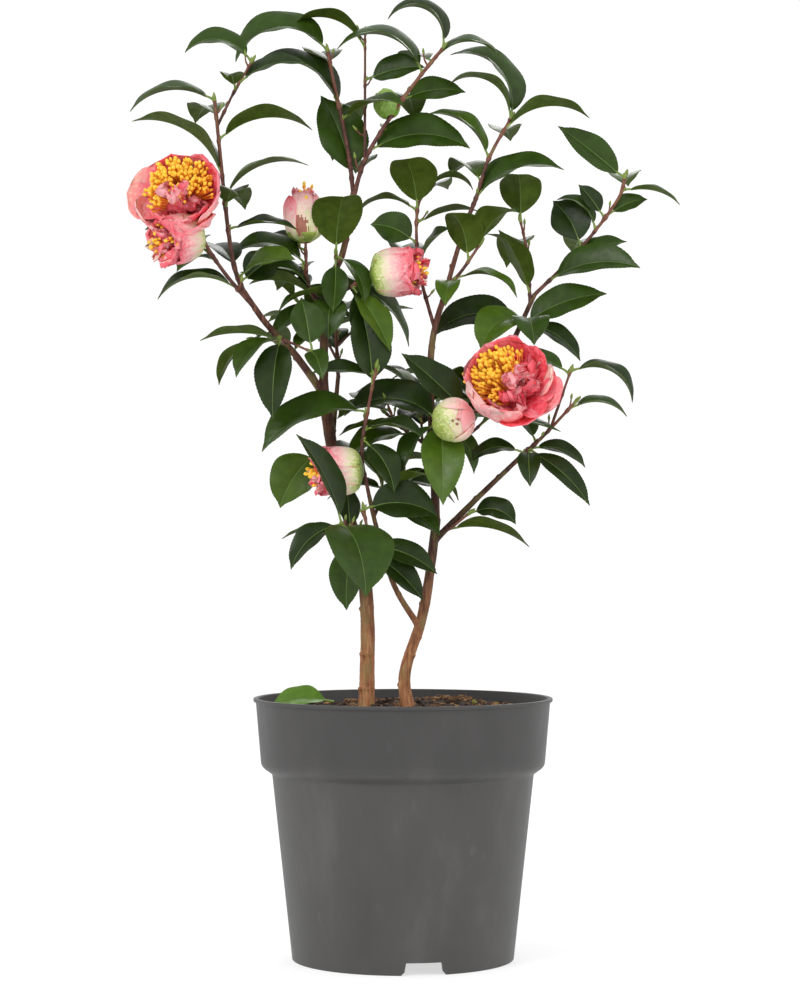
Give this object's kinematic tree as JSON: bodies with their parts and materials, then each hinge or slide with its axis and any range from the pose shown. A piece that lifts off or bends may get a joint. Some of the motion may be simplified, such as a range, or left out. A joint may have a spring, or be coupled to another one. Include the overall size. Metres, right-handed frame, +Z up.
{
  "type": "potted camellia shrub",
  "caption": "Young camellia shrub with two bare stems, open arching twigs, glossy leaves, buds and blossoms, in a round nursery pot.",
  "frame": {"origin": "on the pot's upright axis, in the plane the pot stands on", "axes": "+Z up the plant, front of the plant towards -Y"},
  "size_m": [0.4261, 0.23, 0.7398],
  "materials": {
    "pot_plastic": "matt",
    "potting_soil": "rough",
    "bark": "rough",
    "foliage": "glossy leaves"
  },
  "bodies": {
    "root": {"pot": "pot_plastic", "soil": "potting_soil", "left_stem": "bark", "right_stem": "bark", "left_bough": "bark", "centre_bough": "bark", "right_bough": "bark", "low_right_bough": "bark", "inner_bough": "bark", "back_left_bough": "bark", "back_right_bough": "bark", "foliage_left_top": "foliage", "foliage_left_bloom": "foliage", "foliage_left_low": "foliage", "foliage_top_left": "foliage", "foliage_top_right": "foliage", "foliage_centre_left": "foliage", "foliage_centre_upper": "foliage", "foliage_centre_bloom": "foliage", "foliage_centre_top": "foliage", "foliage_right_top": "foliage", "foliage_right_inner": "foliage", "foliage_right_outer": "foliage", "foliage_right_middle": "foliage", "foliage_right_lower": "foliage", "foliage_low_right": "foliage", "foliage_low_front": "foliage", "foliage_right_bloom": "foliage", "foliage_low_left": "foliage", "foliage_inner": "foliage", "foliage_inner_low": "foliage", "foliage_left_inner": "foliage", "foliage_inner_back": "foliage", "foliage_back_middle": "foliage", "foliage_back_left": "foliage", "foliage_back_right": "foliage"}
  },
  "joints": []
}
